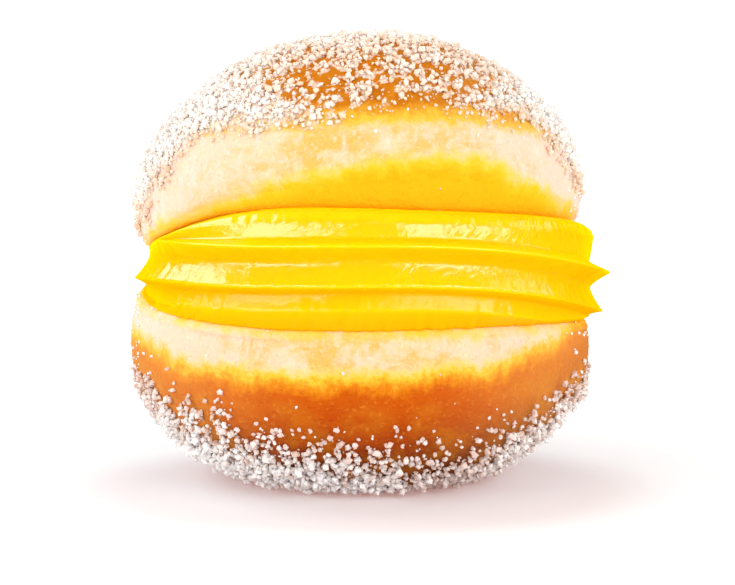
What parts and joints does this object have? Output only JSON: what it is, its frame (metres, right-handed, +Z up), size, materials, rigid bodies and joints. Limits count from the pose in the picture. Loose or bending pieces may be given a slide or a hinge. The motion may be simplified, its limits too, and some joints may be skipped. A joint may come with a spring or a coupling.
{
  "type": "custard filled doughnut",
  "caption": "Round sugared doughnut split like an open mouth, hinged at the back and filled with a piped ribbon of yellow custard.",
  "frame": {"origin": "middle of the bun's underside, on the surface that it rests on", "axes": "+Z is up; the mouth faces -Y, turned a little towards +X; the hinge is at the back"},
  "size_m": [0.0919, 0.091, 0.0842],
  "materials": {
    "dough": "matte",
    "custard": "gloss",
    "sugar": "gloss"
  },
  "bodies": {
    "root": {"bun": "dough", "custard": "custard"}
  },
  "joints": []
}
